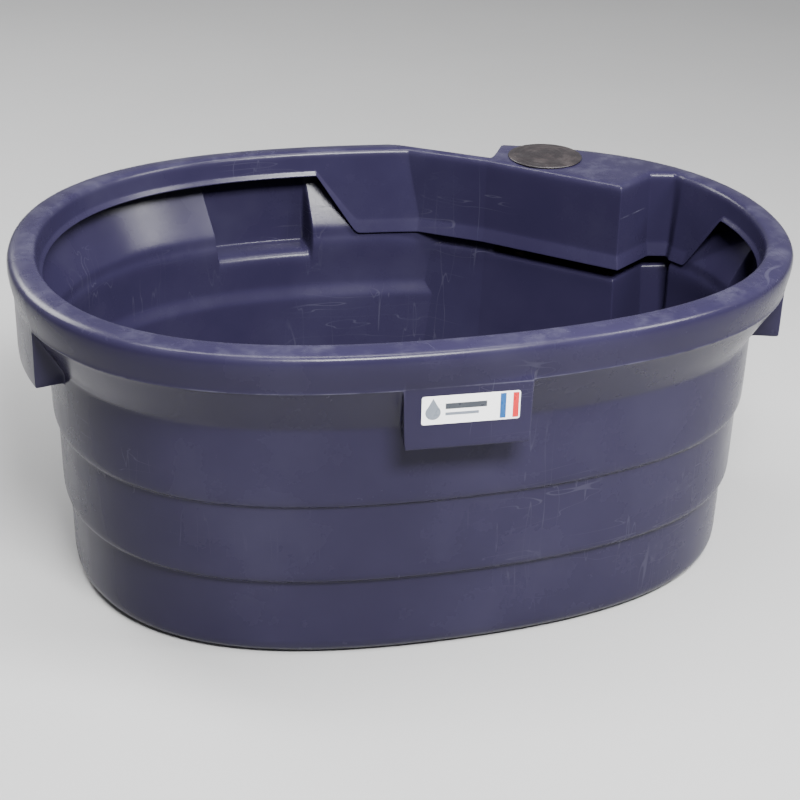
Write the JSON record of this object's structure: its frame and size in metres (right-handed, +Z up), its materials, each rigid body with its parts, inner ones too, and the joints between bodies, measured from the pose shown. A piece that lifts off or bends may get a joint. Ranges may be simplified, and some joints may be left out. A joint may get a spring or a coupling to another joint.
{
  "type": "livestock water trough",
  "caption": "Oval moulded livestock water trough with a stepped wall, rolled rim and lifting lugs, and a covered corner float-valve compartment with a hatch cap, valve and drain.",
  "frame": {"origin": "middle of the base, on the ground", "axes": "+X along the tub's length, -Y the front with the label, +Z up"},
  "size_m": [1.3841, 0.9964, 0.609],
  "materials": {
    "tub_plastic": "moulded polyethylene, semi-matt with scuffs",
    "cap_rubber": "black rubber with a worn sheen",
    "label_film": "printed film",
    "brass": "cast and machined",
    "nozzle_plastic": "moulded",
    "steel": "drawn",
    "float_plastic": "blow moulded",
    "seal_rubber": "moulded",
    "drain_plastic": "moulded",
    "plug_plastic": "moulded"
  },
  "bodies": {
    "tub": {"tub_shell": "tub_plastic", "label_plate": "label_film", "valve_body": "brass", "valve_nozzle": "nozzle_plastic", "pivot_pin": "steel", "pivot_clip": "steel", "outlet_tube": "seal_rubber", "inlet_seal_top": "seal_rubber", "inlet_seal_bottom": "seal_rubber", "inlet_nut": "brass", "drain_bush": "drain_plastic", "drain_seal": "seal_rubber", "drain_nut": "drain_plastic"},
    "hatch": {"hatch_cap": "cap_rubber"},
    "float_arm": {"lever_arm": "steel", "float_ball": "float_plastic", "float_clamp": "brass", "float_nut": "brass"},
    "plunger": {"valve_plunger": "steel", "plunger_seal": "seal_rubber"},
    "plug": {"drain_plug": "plug_plastic", "plug_ring": "seal_rubber"}
  },
  "joints": [
    {"name": "hatch_lift", "type": "slide", "parent": "tub", "child": "hatch", "axis": [0, 0, 1], "range_m": [0, 0.15]},
    {"name": "arm_hinge", "type": "hinge", "parent": "tub", "child": "float_arm", "pos_m": [0.33533, 0.35885, 0.517], "axis": [0.6429, 0.7659, 0], "range_deg": [-17, 0]},
    {"name": "plunger_slide", "type": "slide", "parent": "tub", "child": "plunger", "axis": [0, 0, 1], "range_m": [-0.0028, 0]},
    {"name": "plug_out", "type": "slide", "parent": "tub", "child": "plug", "axis": [0.6429, 0.7659, 0], "range_m": [0, 0.08]}
  ],
  "couplings": [
    {"joint": "plunger_slide", "follows": "arm_hinge", "m_per_rad": 0.009437}
  ]
}
